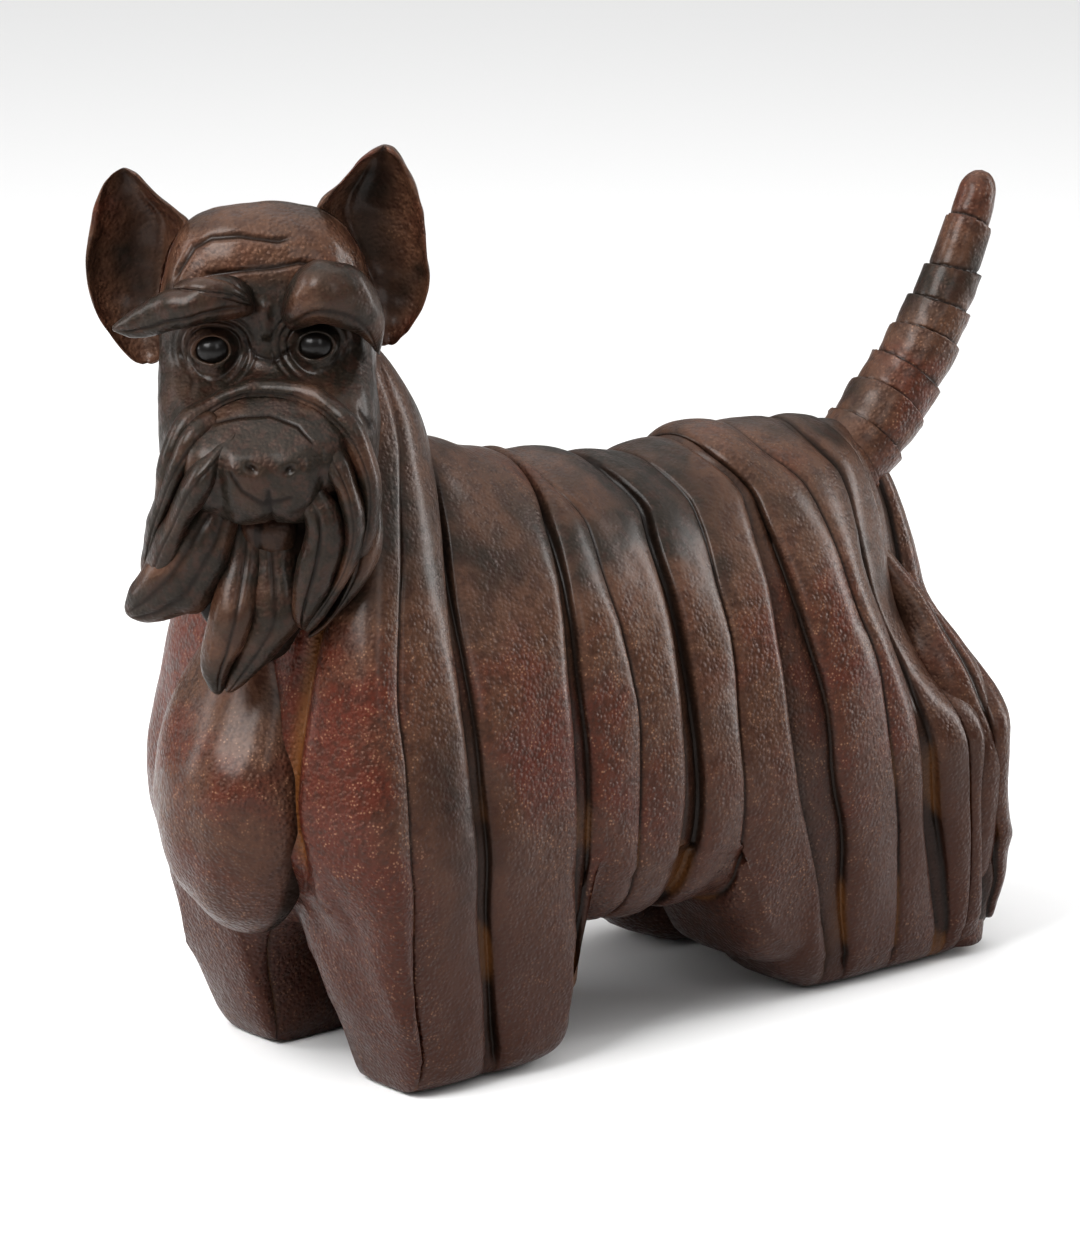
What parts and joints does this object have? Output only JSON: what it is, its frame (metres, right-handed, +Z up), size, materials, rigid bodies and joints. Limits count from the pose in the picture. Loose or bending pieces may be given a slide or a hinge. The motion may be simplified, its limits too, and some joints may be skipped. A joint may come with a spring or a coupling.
{
  "type": "dog statuette",
  "caption": "Standing terrier statuette clad in overlapping brown leather strips, head turned to its left, ears up, tail raised, with set-in glass eyes.",
  "frame": {"origin": "on the ground, under the middle of the figure", "axes": "+Z up; the body faces -Y and its left side is +X"},
  "size_m": [0.148, 0.4176, 0.3445],
  "materials": {
    "brown_leather": "waxed satin",
    "eye_glass": "gloss"
  },
  "bodies": {
    "root": {"dog_figure": "brown_leather", "right_eye": "eye_glass", "left_eye": "eye_glass"}
  },
  "joints": []
}
